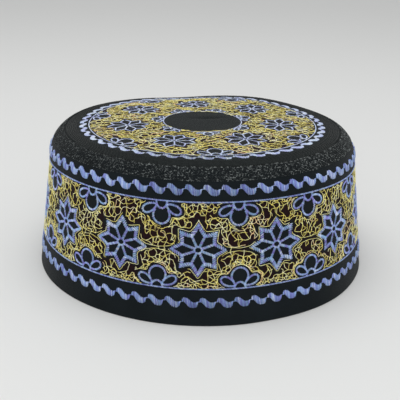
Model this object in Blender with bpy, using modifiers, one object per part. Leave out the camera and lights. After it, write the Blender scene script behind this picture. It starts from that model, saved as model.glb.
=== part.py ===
"""A prayer cap: a stiff side band of black cloth with a flat crown sewn into its top.

Metres, +Z up. The cap stands on its hem at z = 0 with its centre on the Z axis and its front
towards -Y. Azimuths are degrees from the front, growing towards +X.
"""
import math
from collections import namedtuple

import bpy
from mathutils import Vector

# Driving dimensions
HEM_RADIUS = 0.0950         # outside of the wall where the cap stands, for a head of about 58 cm
WALL_LEAN = 0.1387          # radius lost for each unit of height at the hem
WALL_EASE = 0.1505          # how the lean lessens on the way up, per metre
WALL_TOP = 0.0661           # height where the wall starts to turn over the shoulder
SEAM_RADIUS = 0.0780        # the seam between the side band and the crown
SEAM_HEIGHT = 0.0771        # where the two outer surfaces would meet at the seam
SHOULDER_POWER = 1.57       # 2 would be a quarter ellipse, and 1 a straight chamfer
CROWN_HEIGHT = 0.0796       # top of the cap
CROWN_POWER = 5.5           # how late the flat crown rolls down towards its seam

CLOTH = 0.0020              # cloth with its stiffening and backing
HEM_CLOTH = 0.0030          # the same where the hem is turned in
HEM_DEPTH = 0.0120          # how far up the hem is turned in
HEM_ROUND = 0.0006          # rounding at the fold of the hem
SEAM_GAP = 0.0003           # between the two pieces in the seam
SEAM_ROLL = 0.0011          # radius by which each surface turns down into the seam
SEAM_ALLOWANCE = 0.0060     # how far each piece hangs down inside the seam

# Fineness of the faceted surfaces
TURN_STEPS = 96
WALL_STEPS = 6
SHOULDER_STEPS = 8
LINING_STEPS = 5
ROLL_STEPS = 4
CROWN_RINGS = (0.014, 0.028, 0.042, 0.054, 0.063, 0.069, 0.0735)
UNDER_RINGS = (0.0725, 0.066, 0.054, 0.036, 0.018)
SMOOTH_ANGLE = math.radians(40)

# Where the cloth has settled off a true turned form, each with its spread to either side
Settling = namedtuple("Settling", "azimuth spread out_at_hem up_at_seam")
SETTLINGS = (
    Settling(azimuth=48, spread=13, out_at_hem=0.0006, up_at_seam=0.0),
    Settling(azimuth=22, spread=10, out_at_hem=-0.0003, up_at_seam=0.0),
    Settling(azimuth=153, spread=20, out_at_hem=0.0, up_at_seam=0.0012),
    Settling(azimuth=193, spread=16, out_at_hem=0.0, up_at_seam=-0.0013),
    Settling(azimuth=243, spread=20, out_at_hem=0.0, up_at_seam=0.0007),
)

CLOTH_COLOUR = (0.012, 0.016, 0.016, 1.0)
CROWN_COLOUR = (0.018, 0.021, 0.020, 1.0)
CLOTH_ROUGHNESS = 0.85


def clear_scene():
    for found in list(bpy.data.objects):
        bpy.data.objects.remove(found, do_unlink=True)


def wall_radius(height):
    return HEM_RADIUS - WALL_LEAN * height + WALL_EASE * height * height


def shoulder_height(radius):
    """Height of the shoulder's outer surface between the wall's top and the seam."""
    across = (radius - SEAM_RADIUS) / (wall_radius(WALL_TOP) - SEAM_RADIUS)
    rise = max(0.0, 1 - across ** SHOULDER_POWER) ** (1 / SHOULDER_POWER)
    return WALL_TOP + (SEAM_HEIGHT - WALL_TOP) * rise


def crown_height(radius):
    return CROWN_HEIGHT - (CROWN_HEIGHT - SEAM_HEIGHT) * (radius / SEAM_RADIUS) ** CROWN_POWER


def rolled_edge(height, face, side):
    """The arc by which a surface turns down to the seam's face, listed from the surface."""
    centre_r = face + side * SEAM_ROLL
    slope = (height(centre_r + SEAM_ROLL / 2) - height(centre_r)) / (SEAM_ROLL / 2)
    first = math.pi / 2 + math.atan(slope)
    last = math.pi if side > 0 else 0.0
    meet_r = centre_r + SEAM_ROLL * math.cos(first)
    centre_z = height(meet_r) - SEAM_ROLL * math.sin(first)
    points = []
    for step in range(ROLL_STEPS + 1):
        angle = first + (last - first) * step / ROLL_STEPS
        points.append((centre_r + SEAM_ROLL * math.cos(angle), centre_z + SEAM_ROLL * math.sin(angle)))
    return points


def shoulder_path(first_r):
    """Outer surface of the shoulder from beside the seam to the top of the wall."""
    reach = wall_radius(WALL_TOP) - SEAM_RADIUS
    first = math.acos(((first_r - SEAM_RADIUS) / reach) ** (SHOULDER_POWER / 2))
    points = []
    for step in range(1, SHOULDER_STEPS + 1):
        angle = first * (1 - step / SHOULDER_STEPS)
        across = max(0.0, math.cos(angle)) ** (2 / SHOULDER_POWER)
        up = max(0.0, math.sin(angle)) ** (2 / SHOULDER_POWER)
        points.append((SEAM_RADIUS + reach * across, WALL_TOP + (SEAM_HEIGHT - WALL_TOP) * up))
    return points


def inner_shoulder_path(wrong_r):
    """Under side of the shoulder, a cloth's thickness in, from the wall up to the seam allowance."""
    points = []
    outer = shoulder_path(wrong_r)
    for (r0, z0), (r1, z1) in zip(outer[1:], outer):
        length = math.hypot(r1 - r0, z1 - z0)
        middle_r = (r0 + r1) / 2 + CLOTH * (z0 - z1) / length
        middle_z = (z0 + z1) / 2 - CLOTH * (r0 - r1) / length
        if middle_r > wrong_r + CLOTH / 4:
            points.append((middle_r, middle_z))
    points.reverse()
    points.append((wrong_r, shoulder_height(wrong_r) - CLOTH * 1.2))
    return points


def band_section():
    """Closed section of the side band: down its outer side, round the hem and up its inner side."""
    face = SEAM_RADIUS + SEAM_GAP / 2
    foot = SEAM_HEIGHT - SEAM_ALLOWANCE
    roll = rolled_edge(shoulder_height, face, side=1)
    section = [(face, foot)]
    section += reversed(roll)
    section += shoulder_path(roll[0][0])
    for step in range(1, WALL_STEPS):
        height = WALL_TOP + (2 * HEM_ROUND - WALL_TOP) * step / (WALL_STEPS - 1)
        section.append((wall_radius(height), height))
    section.append((HEM_RADIUS - HEM_ROUND / 3, HEM_ROUND / 3))
    section.append((HEM_RADIUS - HEM_ROUND, 0.0))
    section.append((HEM_RADIUS - HEM_CLOTH + HEM_ROUND, 0.0))
    section.append((HEM_RADIUS - HEM_CLOTH, HEM_ROUND))
    section.append((wall_radius(HEM_DEPTH) - HEM_CLOTH, HEM_DEPTH))
    section.append((wall_radius(HEM_DEPTH) - CLOTH, HEM_DEPTH + HEM_ROUND))
    for step in range(1, LINING_STEPS):
        height = HEM_DEPTH + (WALL_TOP - CLOTH - HEM_DEPTH) * step / (LINING_STEPS - 1)
        section.append((wall_radius(height) - CLOTH, height))
    section += inner_shoulder_path(face + CLOTH)
    section.append((face + CLOTH, foot))
    return section


def crown_section():
    """Half section of the crown, from its top centre out, down the allowance and back under."""
    face = SEAM_RADIUS - SEAM_GAP / 2
    foot = SEAM_HEIGHT - SEAM_ALLOWANCE
    roll = rolled_edge(crown_height, face, side=-1)
    section = [(0.0, CROWN_HEIGHT)]
    section += [(radius, crown_height(radius)) for radius in CROWN_RINGS]
    section += roll
    section += [(face, foot), (face - CLOTH, foot)]
    section.append((face - CLOTH, crown_height(face - CLOTH) - CLOTH))
    section += [(radius, crown_height(radius) - CLOTH) for radius in UNDER_RINGS]
    section.append((0.0, CROWN_HEIGHT - CLOTH))
    return section


def settled(point):
    """Where a point of the true turned form lies once the cloth has settled."""
    azimuth = math.degrees(math.atan2(point.x, -point.y))
    radius = math.hypot(point.x, point.y)
    share_up = (point.z / SEAM_HEIGHT) * min(1.0, radius / SEAM_RADIUS) ** 2
    share_out = max(0.0, 1 - point.z / WALL_TOP) ** 2
    out = 0.0
    up = 0.0
    for settling in SETTLINGS:
        turn = (azimuth - settling.azimuth + 180) % 360 - 180
        near = math.exp(-((turn / settling.spread) ** 2))
        out += settling.out_at_hem * near * share_out
        up += settling.up_at_seam * near * share_up
    scale = 1 + out / radius if radius > SEAM_ROLL else 1.0
    return Vector((point.x * scale, point.y * scale, point.z + up))


def cloth_material(name, colour):
    material = bpy.data.materials.new(name)
    material.use_nodes = True
    shader = material.node_tree.nodes["Principled BSDF"]
    shader.inputs["Base Color"].default_value = colour
    shader.inputs["Roughness"].default_value = CLOTH_ROUGHNESS
    shader.inputs["Metallic"].default_value = 0.0
    material.diffuse_color = colour
    return material


def turned_solid(name, section, ring_closed, material, collection):
    """Turns a section about the Z axis into a solid, and lets its cloth settle."""
    edges = [(first, first + 1) for first in range(len(section) - 1)]
    if ring_closed:
        edges.append((len(section) - 1, 0))
    profile = bpy.data.meshes.new(name + "_profile")
    profile.from_pydata([(radius, 0.0, height) for radius, height in section], edges, [])
    solid = bpy.data.objects.new(name, profile)
    collection.objects.link(solid)

    turn = solid.modifiers.new("Turn", "SCREW")
    turn.axis = "Z"
    turn.angle = 2 * math.pi
    turn.steps = TURN_STEPS
    turn.render_steps = TURN_STEPS
    turn.use_merge_vertices = True
    turn.merge_threshold = 0.00001

    graph = bpy.context.evaluated_depsgraph_get()
    mesh = bpy.data.meshes.new_from_object(solid.evaluated_get(graph))
    mesh.name = name
    solid.modifiers.clear()
    solid.data = mesh
    bpy.data.meshes.remove(profile)
    for vertex in mesh.vertices:
        vertex.co = settled(vertex.co)
    mesh.materials.clear()
    mesh.materials.append(material)
    mesh.shade_smooth()
    mesh.set_sharp_from_angle(angle=SMOOTH_ANGLE)
    return solid


def main():
    clear_scene()
    cap = bpy.data.collections.new("prayer_cap")
    bpy.context.scene.collection.children.link(cap)
    turned_solid("side_band", band_section(), True, cloth_material("band_cloth", CLOTH_COLOUR), cap)
    turned_solid("crown", crown_section(), False, cloth_material("crown_cloth", CROWN_COLOUR), cap)


main()
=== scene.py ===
import math
import random

import bpy
import numpy as np
from mathutils import Matrix, Vector
from mathutils.geometry import delaunay_2d_cdt
from mathutils.kdtree import KDTree


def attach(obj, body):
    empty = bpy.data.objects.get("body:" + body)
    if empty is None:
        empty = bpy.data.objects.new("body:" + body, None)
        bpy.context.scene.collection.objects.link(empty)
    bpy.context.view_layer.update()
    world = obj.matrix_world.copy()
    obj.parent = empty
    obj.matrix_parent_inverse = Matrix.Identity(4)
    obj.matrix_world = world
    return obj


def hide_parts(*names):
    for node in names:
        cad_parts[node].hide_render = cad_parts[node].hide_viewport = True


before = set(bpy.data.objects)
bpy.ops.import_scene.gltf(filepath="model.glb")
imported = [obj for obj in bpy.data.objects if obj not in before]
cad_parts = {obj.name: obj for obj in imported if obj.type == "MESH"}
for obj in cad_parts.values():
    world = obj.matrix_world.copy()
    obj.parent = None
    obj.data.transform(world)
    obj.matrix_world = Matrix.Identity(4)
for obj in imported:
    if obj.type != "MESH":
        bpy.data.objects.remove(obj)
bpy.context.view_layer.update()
print("frame loaded:", sorted(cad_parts))

# Azimuths are degrees from the front (-Y), growing towards +X. Tables of embroidery are in
# millimetres, as an embroiderer writes them, and mm turns them into metres.
mm = 0.001
flatRadius = 90.0    # millimetres: the side band is mapped flat as if it were a tube of this radius

capForm = {
    "hemRadius": 0.0950,
    "wallLean": 0.1387,
    "wallEase": 0.1505,
    "wallTop": 0.0661,
    "seamRadius": 0.0780,
    "seamHeight": 0.0771,
    "shoulderPower": 1.57,
    "crownHeight": 0.0796,
    "crownPower": 5.5,
    "cloth": 0.0020,
    "hemCloth": 0.0030,
    "hemDepth": 0.0120,
    "hemRound": 0.0006,
    "seamGap": -0.0001,    # the stitches press the two allowances together
    "seamRoll": 0.0008,    # the stitches fill the seam up, so it rolls less than the bare cloth
    "seamAllowance": 0.0060,
}

# where the cloth has settled off a true turned form
settlings = [
    {"azimuth": 48, "spread": 13, "outAtHem": 0.6 * mm, "upAtSeam": 0.0},
    {"azimuth": 22, "spread": 10, "outAtHem": -0.3 * mm, "upAtSeam": 0.0},
    {"azimuth": 153, "spread": 20, "outAtHem": 0.0, "upAtSeam": 1.2 * mm},
    {"azimuth": 193, "spread": 16, "outAtHem": 0.0, "upAtSeam": -1.3 * mm},
    {"azimuth": 243, "spread": 20, "outAtHem": 0.0, "upAtSeam": 0.7 * mm},
]


def srgb(red, green, blue):
    # a colour as a paint chart gives it, 0 to 255, turned into the linear one that shaders take
    def linear(value):
        value /= 255
        return value / 12.92 if value <= 0.04045 else ((value + 0.055) / 1.055) ** 2.4
    return (linear(red), linear(green), linear(blue), 1.0)


def linked(name, data):
    thing = bpy.data.objects.new(name, data)
    bpy.context.scene.collection.objects.link(thing)
    return thing


def unit(vectors):
    return vectors / np.linalg.norm(vectors, axis=1, keepdims=True)


# The form of the cap

def settled(points):
    x, y, z = points.T
    azimuth = np.degrees(np.arctan2(x, -y))
    radius = np.hypot(x, y)
    shareUp = (z / capForm["seamHeight"]) * np.minimum(1, radius / capForm["seamRadius"]) ** 2
    shareOut = np.maximum(0, 1 - z / capForm["wallTop"]) ** 2
    out = np.zeros(len(points))
    up = np.zeros(len(points))
    for fold in settlings:
        turn = (azimuth - fold["azimuth"] + 180) % 360 - 180
        near = np.exp(-((turn / fold["spread"]) ** 2))
        out += fold["outAtHem"] * near * shareOut
        up += fold["upAtSeam"] * near * shareUp
    scale = 1 + out / np.maximum(radius, capForm["seamRoll"])
    return np.stack([x * scale, y * scale, z + up], 1)


def wallRadius(height):
    return capForm["hemRadius"] - capForm["wallLean"] * height + capForm["wallEase"] * height ** 2


wallTopRadius = wallRadius(capForm["wallTop"])
shoulderWide = wallTopRadius - capForm["seamRadius"]
shoulderDeep = capForm["seamHeight"] - capForm["wallTop"]


def roundedOff(share):
    power = capForm["shoulderPower"]
    return np.maximum(0, 1 - share ** power) ** (1 / power)


def bandRadius(height):
    # outer radius at a height on the wall, and on over the shoulder
    rise = np.clip((height - capForm["wallTop"]) / shoulderDeep, 0, 1)
    shoulder = capForm["seamRadius"] + shoulderWide * roundedOff(rise)
    return np.where(height < capForm["wallTop"], wallRadius(height), shoulder)


def shoulderHeight(radius):
    return capForm["wallTop"] + shoulderDeep * roundedOff((radius - capForm["seamRadius"]) / shoulderWide)


def crownHeight(radius):
    drop = capForm["crownHeight"] - capForm["seamHeight"]
    return capForm["crownHeight"] - drop * (radius / capForm["seamRadius"]) ** capForm["crownPower"]


dimple = {"x": 3.0 * mm, "y": 7.0 * mm, "long": 9.0 * mm, "wide": 2.8 * mm, "deep": 0.7 * mm, "turn": 8}


def crownSurface(x, y):
    # height of the crown, with the shallow crease that the fold for packing left near its middle
    turn = math.radians(dimple["turn"])
    along = (x - dimple["x"]) * math.cos(turn) + (y - dimple["y"]) * math.sin(turn)
    aside = (y - dimple["y"]) * math.cos(turn) - (x - dimple["x"]) * math.sin(turn)
    crease = np.exp(-((along / dimple["long"]) ** 2) - (aside / dimple["wide"]) ** 2)
    return crownHeight(np.hypot(x, y)) - dimple["deep"] * crease


def polar(azimuth, radius, height):
    return np.stack([radius * np.sin(azimuth), -radius * np.cos(azimuth), height + 0 * azimuth], 1)


def surfaceAt(place, first, second, firstStep, secondStep):
    # points of a surface and their outward normals, from its two measures and a small step of each
    first = np.asarray(first, float)
    second = np.asarray(second, float)
    here = settled(place(first, second))
    along = settled(place(first + firstStep, second)) - here
    across = settled(place(first, second + secondStep)) - here
    return here, unit(np.cross(along, across))


normalStep = 0.1 * mm
turnStep = normalStep / (flatRadius * mm)


def onBand(azimuths, heights):
    # on the side band, from azimuths in radians and heights in metres
    def place(turn, height):
        return polar(turn, bandRadius(height), height)
    return surfaceAt(place, azimuths, heights, turnStep, normalStep)


def onShoulder(azimuths, radii):
    def place(turn, radius):
        return polar(turn, radius, shoulderHeight(radius))
    return surfaceAt(place, azimuths, radii, turnStep, -normalStep)


def onCrown(xs, ys):
    def place(x, y):
        return np.stack([x, y, crownSurface(x, y)], 1)
    return surfaceAt(place, xs, ys, normalStep, normalStep)


def onRim(azimuths, radii):
    return onCrown(radii * np.sin(azimuths), -radii * np.cos(azimuths))


# Node helpers

def arithmetic(operation):
    # an operator between a wire and a wire or number, and its reflected form
    def plain(self, other):
        return self.maths(operation, self, other)

    def reflected(self, other):
        return self.maths(operation, other, self)
    return plain, reflected


class Wire:
    # a socket that takes part in plain arithmetic, which adds Math nodes to its tree
    def __init__(self, graph, socket):
        self.graph = graph
        self.socket = socket

    def maths(self, operation, *values):
        return self.graph.make("ShaderNodeMath", {"operation": operation}, dict(enumerate(values)))

    __add__, __radd__ = arithmetic("ADD")
    __sub__, __rsub__ = arithmetic("SUBTRACT")
    __mul__, __rmul__ = arithmetic("MULTIPLY")
    __truediv__, __rtruediv__ = arithmetic("DIVIDE")
    __mod__, __rmod__ = arithmetic("MODULO")

    def atMost(self, other):
        return self.maths("MINIMUM", self, other)

    def sine(self):
        return self.maths("SINE", self)


class Graph:
    # a node tree: a node is made from its type, its settings and what feeds its sockets
    def make(self, kind, settings=None, feeds=None, gives=0):
        node = self.tree.nodes.new(kind)
        for key, value in (settings or {}).items():
            if key == "stops":
                self.setStops(node.color_ramp, value)
            else:
                setattr(node, key, value)
        for key, value in (feeds or {}).items():
            self.feed(node.inputs[key], value)
        return Wire(self, node.outputs[gives])

    def setStops(self, ramp, stops):
        for index, (place, colour) in enumerate(stops):
            stop = ramp.elements[index] if index < 2 else ramp.elements.new(place)
            stop.position = place
            stop.color = colour

    def feed(self, socket, value):
        if isinstance(value, Wire):
            self.tree.links.new(value.socket, socket)
        else:
            socket.default_value = value


class Paint(Graph):
    # one material with its Principled shader
    def __init__(self, name, **constants):
        self.material = bpy.data.materials.new(name)
        self.material.use_nodes = True
        self.tree = self.material.node_tree
        self.shader = self.tree.nodes["Principled BSDF"]
        for label, value in constants.items():
            self.give(label.replace("_", " "), value)

    def give(self, label, value):
        self.feed(self.shader.inputs[label], value)

    def place(self):
        return self.make("ShaderNodeTexCoord", gives="Object")

    def part(self, vector, axis):
        return self.make("ShaderNodeSeparateXYZ", feeds={0: vector}, gives=axis)

    def stored(self, name):
        return self.make("ShaderNodeAttribute", {"attribute_name": name}, gives="Fac")

    def noise(self, scale, detail):
        feeds = {"Vector": self.place(), "Scale": scale, "Detail": detail}
        return self.make("ShaderNodeTexNoise", feeds=feeds)

    def ramp(self, factor, stops):
        return self.make("ShaderNodeValToRGB", {"stops": stops}, {"Fac": factor})

    def blend(self, factor, first, second):
        return self.make("ShaderNodeMix", {"data_type": "RGBA"}, {0: factor, 6: first, 7: second}, gives=2)

    def bump(self, height, distance, strength):
        feeds = {"Height": height, "Distance": distance, "Strength": strength}
        return self.make("ShaderNodeBump", feeds=feeds)


class Maker(Graph):
    # one geometry node tree with named inputs
    def __init__(self, name, inputs):
        self.tree = bpy.data.node_groups.new(name, "GeometryNodeTree")
        self.sockets = {}
        for label, kind in {"Geometry": "Geometry", **inputs}.items():
            self.sockets[label] = self.addSocket(label, "INPUT", kind)
        self.addSocket("Geometry", "OUTPUT", "Geometry")
        self.entry = self.tree.nodes.new("NodeGroupInput")
        self.exit = self.tree.nodes.new("NodeGroupOutput")

    def addSocket(self, label, way, kind):
        return self.tree.interface.new_socket(label, in_out=way, socket_type="NodeSocket" + kind)

    def given(self, label):
        return Wire(self, self.entry.outputs[label])

    def chance(self, low, high):
        feeds = {2: low, 3: high, 8: self.given("Seed")}
        return self.make("FunctionNodeRandomValue", {"data_type": "FLOAT"}, feeds, gives=1)

    def named(self, name, kind):
        return self.make("GeometryNodeInputNamedAttribute", {"data_type": kind}, {"Name": name})

    def vector(self, **parts):
        return self.make("ShaderNodeCombineXYZ", feeds=parts)

    def guideCurve(self):
        return self.make("GeometryNodeMeshToCurve", feeds={"Mesh": self.given("Geometry")})

    def finish(self, geometry):
        # real, smooth geometry in the thread's material
        real = self.make("GeometryNodeRealizeInstances", feeds={"Geometry": geometry})
        smooth = self.make("GeometryNodeSetShadeSmooth", feeds={"Geometry": real})
        feeds = {"Geometry": smooth, "Material": self.given("Thread")}
        self.feed(self.exit.inputs[0], self.make("GeometryNodeSetMaterial", feeds=feeds))


# Laying thread

threadLay = {
    "sunk": -0.25,             # depth of a stitch's ends, as a share of its height
    "shoulder": 0.38,          # where it is at its full height, as a share of its length
    "plumpness": (0.8, 1.15),  # range of the stitches' heights
    "fullReach": 1.1 * mm,     # a stitch shorter than this is lower too
    "tones": (0.1, 0.9),       # range of their places in the thread's colours
    "toothTone": 0.45,         # how much paler the longer stitches of the teeth are
    "strandSides": 3,
}


def stitchForm():
    # one stitch, 1 long, 1 wide and 1 high: it dives into the cloth at both ends
    sunk, shoulder = threadLay["sunk"], threadLay["shoulder"]
    points = [(-0.5, 0, sunk), (0.5, 0, sunk)]
    for x in (-shoulder, shoulder):
        points += [(x, -0.5, sunk), (x, 0.5, sunk), (x, 0, 1)]
    faces = [(0, 3, 2), (0, 2, 4), (0, 4, 3), (1, 5, 6), (1, 7, 5), (1, 6, 7)]
    faces += [(2, 3, 6, 5), (2, 5, 7, 4), (3, 4, 7, 6)]
    mesh = bpy.data.meshes.new("stitchForm")
    mesh.from_pydata(points, [], faces)
    return linked("stitchForm", mesh)


def satinTree():
    # stitches side by side along each guide, across it or slanting
    sizes = ("Pitch", "Gauge", "Height", "Slant", "Zigzag", "Wobble", "Teeth", "Lean", "Jitter")
    inputs = {"Stitch": "Object", **dict.fromkeys(sizes, "Float"), "Seed": "Int", "Thread": "Material"}
    tree = Maker("satinStitches", inputs)
    grain = tree.named("grain", "FLOAT_VECTOR")
    reach = tree.named("reach", "FLOAT")
    stray = tree.chance(-1.0, 1.0)
    parity = tree.make("GeometryNodeInputIndex") % 2.0 - 0.5
    teeth = parity * tree.given("Teeth")

    places = tree.make("GeometryNodeCurveToPoints", {"mode": "LENGTH"},
                       {"Curve": tree.guideCurve(), "Length": tree.given("Pitch")})
    aside = tree.make("ShaderNodeVectorMath", {"operation": "SCALE"},
                      {0: grain, "Scale": teeth * reach * tree.given("Lean")})
    leaning = tree.make("GeometryNodeSetPosition", feeds={"Geometry": places, "Offset": aside})

    facing = tree.make("FunctionNodeAxesToRotation", {"primary_axis": "Z", "secondary_axis": "X"},
                       {"Primary Axis": tree.named("upward", "FLOAT_VECTOR"), "Secondary Axis": grain})
    turn = parity * tree.given("Zigzag") + tree.given("Slant") + stray * tree.given("Wobble")
    spin = tree.make("FunctionNodeEulerToRotation", feeds={0: tree.vector(Z=turn)})
    turned = tree.make("FunctionNodeRotateRotation", {"rotation_space": "LOCAL"},
                       {"Rotation": facing, "Rotate By": spin})

    share = stray * tree.given("Jitter") + teeth + 1.0
    short = (reach / threadLay["fullReach"]).atMost(1.0)
    plump = tree.given("Height") * tree.chance(*threadLay["plumpness"]) * short
    size = tree.vector(X=reach * share, Y=tree.given("Gauge"), Z=plump)
    form = tree.make("GeometryNodeObjectInfo", feeds={"Object": tree.given("Stitch")}, gives="Geometry")
    laid = tree.make("GeometryNodeInstanceOnPoints",
                     feeds={"Points": leaning, "Instance": form, "Rotation": turned, "Scale": size})
    tone = tree.chance(*threadLay["tones"]) + teeth * threadLay["toothTone"]
    tree.finish(tree.make("GeometryNodeStoreNamedAttribute", {"data_type": "FLOAT", "domain": "INSTANCE"},
                          {"Geometry": laid, "Name": "tone", "Value": tone}))
    return tree


def strandTree():
    # a round thread along each guide
    tree = Maker("laidStrands", {"Step": "Float", "Radius": "Float", "Thread": "Material"})
    even = tree.make("GeometryNodeResampleCurve", {"mode": "LENGTH"},
                     {"Curve": tree.guideCurve(), "Length": tree.given("Step")})
    ring = tree.make("GeometryNodeCurvePrimitiveCircle", {"mode": "RADIUS"},
                     {"Resolution": threadLay["strandSides"], "Radius": tree.given("Radius")})
    tree.finish(tree.make("GeometryNodeCurveToMesh",
                          feeds={"Curve": even, "Profile Curve": ring, "Fill Caps": True}))
    return tree


def guideFrom(runs, measure):
    # a loose mesh of edges: each run is its points, normals, stitch directions and one measure
    edges = []
    start = 0
    for run in runs:
        count = len(run[0])
        edges += [(start + step, start + step + 1) for step in range(count - 1)]
        start += count
    points, upward, grain, measures = (np.concatenate(part).astype(np.float32) for part in zip(*runs))
    mesh = bpy.data.meshes.new("guide")
    mesh.from_pydata(points.tolist(), edges, [])
    for name, values in (("upward", upward), ("grain", grain)):
        mesh.attributes.new(name, "FLOAT_VECTOR", "POINT").data.foreach_set("vector", values.ravel())
    mesh.attributes.new(measure, "FLOAT", "POINT").data.foreach_set("value", measures)
    return linked("guide", mesh)


def addPiece(name, mesh):
    # every piece of the cap rides on its one body
    piece = linked(name, mesh)
    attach(piece, "root")
    mesh.calc_loop_triangles()
    print(name, "has", len(mesh.loop_triangles), "triangles")
    return piece


def grow(name, runs, tree, values):
    # runs a tree on its guide and keeps the plain mesh as a piece of the cap
    guide = guideFrom(runs, "reach" if "Pitch" in values else "tone")
    modifier = guide.modifiers.new("Grow", "NODES")
    modifier.node_group = tree.tree
    for label, value in values.items():
        modifier[tree.sockets[label].identifier] = value
    graph = bpy.context.evaluated_depsgraph_get()
    mesh = bpy.data.meshes.new_from_object(guide.evaluated_get(graph))
    mesh.name = name
    bpy.data.objects.remove(guide)
    piece = addPiece(name, mesh)


# Flat motifs: each is a list of lines, and a line is rows of across, up and share of the full
# stitch length, in millimetres

starPoints = 8
# how a side of a star's point swells and then narrows into the tip
starTaper = {"share": (0, 0.5, 0.75, 1), "girth": (1, 1.12, 1.0, 0.4)}
starMiddle = {"spokeGirth": 0.95, "ringGirth": 0.7, "ringFlat": 0.85}
flowerForm = {
    "leafRoot": (2.6, 1.7),
    "leafTip": (9.5, 5.4),
    "leafWide": 2.45,
    "rootShare": 0.45,    # of the leaf's width, at its root
    "swell": 0.6,
    "petalArc": (-38, 218),
}
# rings and lines inside the motifs, which keep them free of gold
hearts = {
    "starRings": (1.6, 3.2, 4.8, 6.4),
    "starRays": (6, 11),
    "petalRings": (1.2, 2.8),
    "petalAt": 6.9,
    "eye": ((0, 0.6), (0, 3.4)),
    "leaf": ((1, 0.8), (8.8, 4.4)),
}


def arcLine(cx, cy, rx, ry, first, last, count, wide=1.0):
    angles = np.radians(np.linspace(first, last, count + 1))
    return np.stack([cx + rx * np.cos(angles), cy + ry * np.sin(angles), np.full(count + 1, wide)], 1)


def straightLine(start, end, wide=1.0):
    return np.array([(*start, wide), (*end, wide)])


def cornerRing(rx, ry, first):
    return arcLine(0, 0, rx, ry, first, first + 360, starPoints)[:-1, :2]


def notchRing(star):
    return cornerRing(*star["notch"], 90 + 180 / starPoints)


def starSide(notch, tip, bow, girth):
    # one side of a star's point, bowed a little
    share = np.linspace(0, 1, 9)
    across, up = tip[0] - notch[0], tip[1] - notch[1]
    lift = 4 * share * (1 - share) * bow / math.hypot(across, up)
    wide = girth * np.interp(share, starTaper["share"], starTaper["girth"])
    return np.stack([notch[0] + across * share - up * lift, notch[1] + up * share + across * lift, wide], 1)


def starSides(star):
    # both sides of each point run so that the ends of their stitches on the left lie outside
    notches = notchRing(star)
    lines = []
    for point, corner in enumerate(cornerRing(1, 1, 90)):
        length, girth, bow = (star[key][point % 4] for key in ("tips", "girths", "bows"))
        lines.append(starSide(notches[point - 1], corner * length, -bow, girth)[::-1])
        lines.append(starSide(notches[point], corner * length, bow, girth))
    return lines


def starRays(star):
    # the spokes to the notches and the ring at the middle
    ring = star["ring"]
    inner = ring / star["notch"][1]
    lines = [straightLine(corner * inner, corner, starMiddle["spokeGirth"]) for corner in notchRing(star)]
    return lines + [arcLine(0, 0, ring, starMiddle["ringFlat"] * ring, 0, 360, 16, starMiddle["ringGirth"])]


def leafLine():
    # the right leaf of a half flower, narrow at its root
    root = np.array(flowerForm["leafRoot"])
    way = np.array(flowerForm["leafTip"]) - root
    angles = np.linspace(0, math.tau, 23)
    along = (1 - np.cos(angles)) / 2
    swell = flowerForm["rootShare"] + (1 - flowerForm["rootShare"]) * along ** flowerForm["swell"]
    aside = np.sin(angles) * swell * flowerForm["leafWide"] / math.hypot(*way)
    return np.stack([root[0] + way[0] * along - way[1] * aside,
                     root[1] + way[1] * along + way[0] * aside, np.ones(len(angles))], 1)


def halfFlower(eyeWide, eyeDeep, petal, petalAt):
    leaf = leafLine()
    eye = arcLine(0, 0, eyeWide, eyeDeep, 0, 180, 12)
    return [eye, arcLine(0, petalAt, petal, petal, *flowerForm["petalArc"], 24), leaf, leaf * (-1, 1, 1)]


def starHeart():
    lines = [arcLine(0, 0, ring, ring, 0, 360, 24) for ring in hearts["starRings"]]
    inner, outer = hearts["starRays"]
    return lines + [straightLine(inner * ray, outer * ray) for ray in cornerRing(1, 1, 0)]


def flowerHeart():
    lines = [arcLine(0, hearts["petalAt"], ring, ring, 0, 360, 16) for ring in hearts["petalRings"]]
    leaf = straightLine(*hearts["leaf"])
    return lines + [straightLine(*hearts["eye"]), leaf * (-1, 1, 1), leaf]


def denser(line, gap=0.4):
    # the same line with a point about every gap millimetres
    travel = np.concatenate([[0], np.cumsum(np.hypot(*np.diff(line[:, :2], axis=0).T))])
    places = np.linspace(0, travel[-1], max(1, math.ceil(travel[-1] / gap)) + 1)
    return np.stack([np.interp(places, travel, column) for column in line.T], 1)


def outlineRun(surface, wide, reach):
    # stitches across a line that already lies on the cap
    points, normals = surface
    grain = unit(np.cross(normals, np.gradient(points, axis=0)))
    return points, normals, grain, wide * reach * mm


# The wall's ornament

wallField = {
    "lowLine": 19.06,
    "highLine": 62.1,
    "repeats": 14,
    "offset": -0.4,        # degrees
    "drawnIn": 0.8,        # degrees by which the repeat is drawn in towards the front
    "starHeight": 38.75,
    "starRises": {1: 0.6, -1: -0.2},    # millimetres by which some repeats' stars were sewn higher
    "starShift": -0.33,    # degrees
    "starWide": 1.65,
    "rayWide": 1.55,
    "flowerWide": 1.2,
    "lineWide": 1.0,
    # degrees by which motifs near the front were sewn off the even repeat
    "firstNudge": -3,      # the repeat that comes first in these rows
    "starNudges": (0.0, 0.0, 0.3, 0.0, -0.15, 0.0),
    "hangingNudges": (0.7, 0.0, 0.57, -0.43, -0.36, 0.5),
    "standingNudges": (0.45, -0.53, -0.08, 0.0, 0.0, -0.4),
    "waves": ({"height": 68.25, "repeats": 61, "first": 0.72},
              {"height": 12.5, "repeats": 67, "first": 0.15}),
}

# how far the ornament hangs down on the sides, in millimetres, and the degrees where that begins,
# over how many it grows, and where it ends and over how many it fades
sideSag = {
    "depth": 1.4,
    "lowShare": 0.3,
    "right": (12, 50),
    "left": (50, 30),
    "leftShare": 0.8,
    "end": (170, 60),
}

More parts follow.
